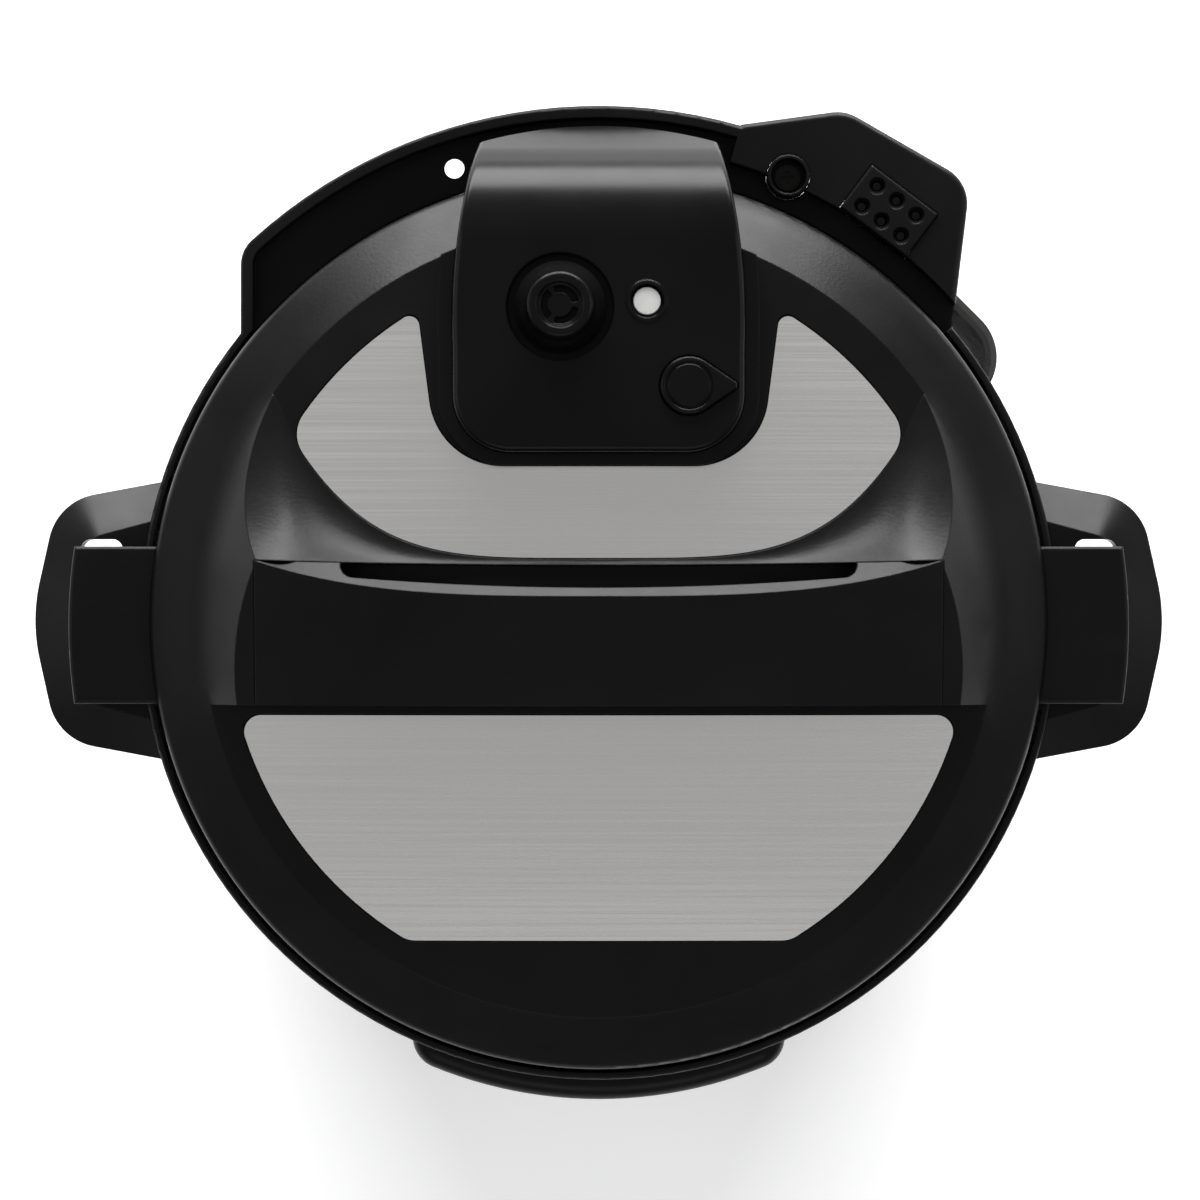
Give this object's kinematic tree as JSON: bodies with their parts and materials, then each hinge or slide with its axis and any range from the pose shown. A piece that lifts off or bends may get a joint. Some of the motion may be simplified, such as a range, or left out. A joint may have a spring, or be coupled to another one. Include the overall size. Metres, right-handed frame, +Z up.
{
  "type": "electric pressure cooker",
  "caption": "Round electric pressure cooker with a turning bayonet lid, arched handle, steam release module, control panel, removable pot and condensation cup.",
  "frame": {"origin": "on the floor under the pot's axis", "axes": "+Z up, -Y towards the control panel, +Y towards the steam module"},
  "size_m": [0.3404, 0.3038, 0.318],
  "materials": {
    "black_plastic": "fine-grained black moulding",
    "fascia_plastic": "smooth black panel",
    "button_plastic": "satin dark grey keys",
    "display_glass": "dark window",
    "display_module": "display frame",
    "board": "green board",
    "board_part": "moulded components",
    "brushed_steel": "brushed",
    "aluminium": "satin",
    "bright_metal": "bright",
    "contact_brass": "bright",
    "silicone": "translucent silicone",
    "foot_rubber": "black rubber",
    "smoky_plastic": "smoky translucent"
  },
  "bodies": {
    "base": {"base_bottom": "black_plastic", "upper_collar": "black_plastic", "left_handle": "black_plastic", "right_handle": "black_plastic", "control_housing": "black_plastic", "collector_bracket": "black_plastic", "mains_inlet": "black_plastic", "accessory_socket": "black_plastic", "locator_ring": "black_plastic", "control_fascia": "fascia_plastic", "display_window": "display_glass", "lcd_module": "display_module", "control_board": "board", "power_board": "board", "board_parts": "board_part", "touch_switches": "board_part", "pressure_switch": "board_part", "outer_sleeve": "brushed_steel", "lock_ring": "brushed_steel", "inner_shell": "aluminium", "heating_plate": "aluminium", "board_screws": "bright_metal", "locator_screw": "bright_metal", "sensor_spring": "bright_metal", "heating_element": "bright_metal", "socket_contacts": "contact_brass", "inlet_pins": "contact_brass", "rubber_feet": "foot_rubber"},
    "collector": {"condensation_collector": "smoky_plastic"},
    "sensor": {"sensor_button": "aluminium"},
    "pot": {"inner_pot": "brushed_steel"},
    "lid_seal": {"sealing_ring": "silicone"},
    "lid": {"lid_cover": "black_plastic", "lid_dome": "brushed_steel", "lid_screws": "bright_metal", "seal_rack": "brushed_steel", "handle_grip": "black_plastic", "left_fin": "black_plastic", "right_fin": "black_plastic", "front_panel": "brushed_steel", "rear_panel": "brushed_steel", "steam_module": "black_plastic", "vent_pipe": "bright_metal", "anti_block_shield": "brushed_steel", "rocker_pin": "bright_metal"},
    "steam_valve": {"valve_weight": "bright_metal", "valve_cap": "black_plastic"},
    "float": {"float_valve": "bright_metal", "float_cap": "silicone"},
    "release_button": {"quick_release_button": "black_plastic"},
    "rocker": {"release_rocker": "black_plastic"},
    "timer_key": {"timer_button": "button_plastic"},
    "mode_key": {"mode_button": "button_plastic"},
    "pressure_key": {"pressure_button": "button_plastic"},
    "warm_key": {"warm_button": "button_plastic"},
    "minus_key": {"minus_button": "button_plastic"},
    "cancel_key": {"cancel_button": "button_plastic"},
    "start_key": {"start_button": "button_plastic"},
    "plus_key": {"plus_button": "button_plastic"}
  },
  "joints": [
    {"name": "pot_lift", "type": "slide", "parent": "base", "child": "pot", "axis": [0, 0, 1], "range_m": [0, 0.2]},
    {"name": "lid_lift", "type": "slide", "parent": "pot", "child": "lid_seal", "axis": [0, 0, 1], "range_m": [0, 0.25]},
    {"name": "lid_turn", "type": "hinge", "parent": "lid_seal", "child": "lid", "pos_m": [0, 0, 0.26], "axis": [0, 0, 1], "range_deg": [0, 30]},
    {"name": "quick_release_press", "type": "slide", "parent": "lid", "child": "release_button", "axis": [0, 0, -1], "range_m": [0, 0.0025], "stiffness_N_per_m": 300, "springref_m": -0.003},
    {"name": "rocker_tilt", "type": "hinge", "parent": "lid", "child": "rocker", "pos_m": [0.01064, 0.07887, 0.281], "axis": [0.5221, 0.8529, 0], "range_deg": [0, 7.8]},
    {"name": "steam_valve_lift", "type": "slide", "parent": "lid", "child": "steam_valve", "axis": [0, 0, 1], "range_m": [0, 0.0026]},
    {"name": "float_rise", "type": "slide", "parent": "lid", "child": "float", "axis": [0, 0, 1], "range_m": [0, 0.005]},
    {"name": "collector_pull", "type": "slide", "parent": "base", "child": "collector", "axis": [0.7071, 0.7071, 0], "range_m": [0, 0.04]},
    {"name": "sensor_press", "type": "slide", "parent": "base", "child": "sensor", "axis": [0, 0, -1], "range_m": [0, 0.0015], "stiffness_N_per_m": 800, "springref_m": -0.002, "deforming": ["sensor_spring"]},
    {"name": "timer_press", "type": "slide", "parent": "base", "child": "timer_key", "axis": [0.2703, 0.9628, 0], "range_m": [0, 0.0008], "stiffness_N_per_m": 600, "springref_m": -0.0005},
    {"name": "mode_press", "type": "slide", "parent": "base", "child": "mode_key", "axis": [0.2703, 0.9628, 0], "range_m": [0, 0.0008], "stiffness_N_per_m": 600, "springref_m": -0.0005},
    {"name": "pressure_press", "type": "slide", "parent": "base", "child": "pressure_key", "axis": [-0.2703, 0.9628, 0], "range_m": [0, 0.0008], "stiffness_N_per_m": 600, "springref_m": -0.0005},
    {"name": "warm_press", "type": "slide", "parent": "base", "child": "warm_key", "axis": [-0.2703, 0.9628, 0], "range_m": [0, 0.0008], "stiffness_N_per_m": 600, "springref_m": -0.0005},
    {"name": "minus_press", "type": "slide", "parent": "base", "child": "minus_key", "axis": [0.2065, 0.9784, 0], "range_m": [0, 0.0008], "stiffness_N_per_m": 600, "springref_m": -0.0005},
    {"name": "cancel_press", "type": "slide", "parent": "base", "child": "cancel_key", "axis": [0.0693, 0.9976, 0], "range_m": [0, 0.0008], "stiffness_N_per_m": 600, "springref_m": -0.0005},
    {"name": "start_press", "type": "slide", "parent": "base", "child": "start_key", "axis": [-0.0693, 0.9976, 0], "range_m": [0, 0.0008], "stiffness_N_per_m": 600, "springref_m": -0.0005},
    {"name": "plus_press", "type": "slide", "parent": "base", "child": "plus_key", "axis": [-0.2065, 0.9784, 0], "range_m": [0, 0.0008], "stiffness_N_per_m": 600, "springref_m": -0.0005}
  ],
  "couplings": [
    {"joint": "rocker_tilt", "follows": "quick_release_press", "rad_per_m": 53.423},
    {"joint": "steam_valve_lift", "follows": "quick_release_press", "ratio": 1}
  ]
}
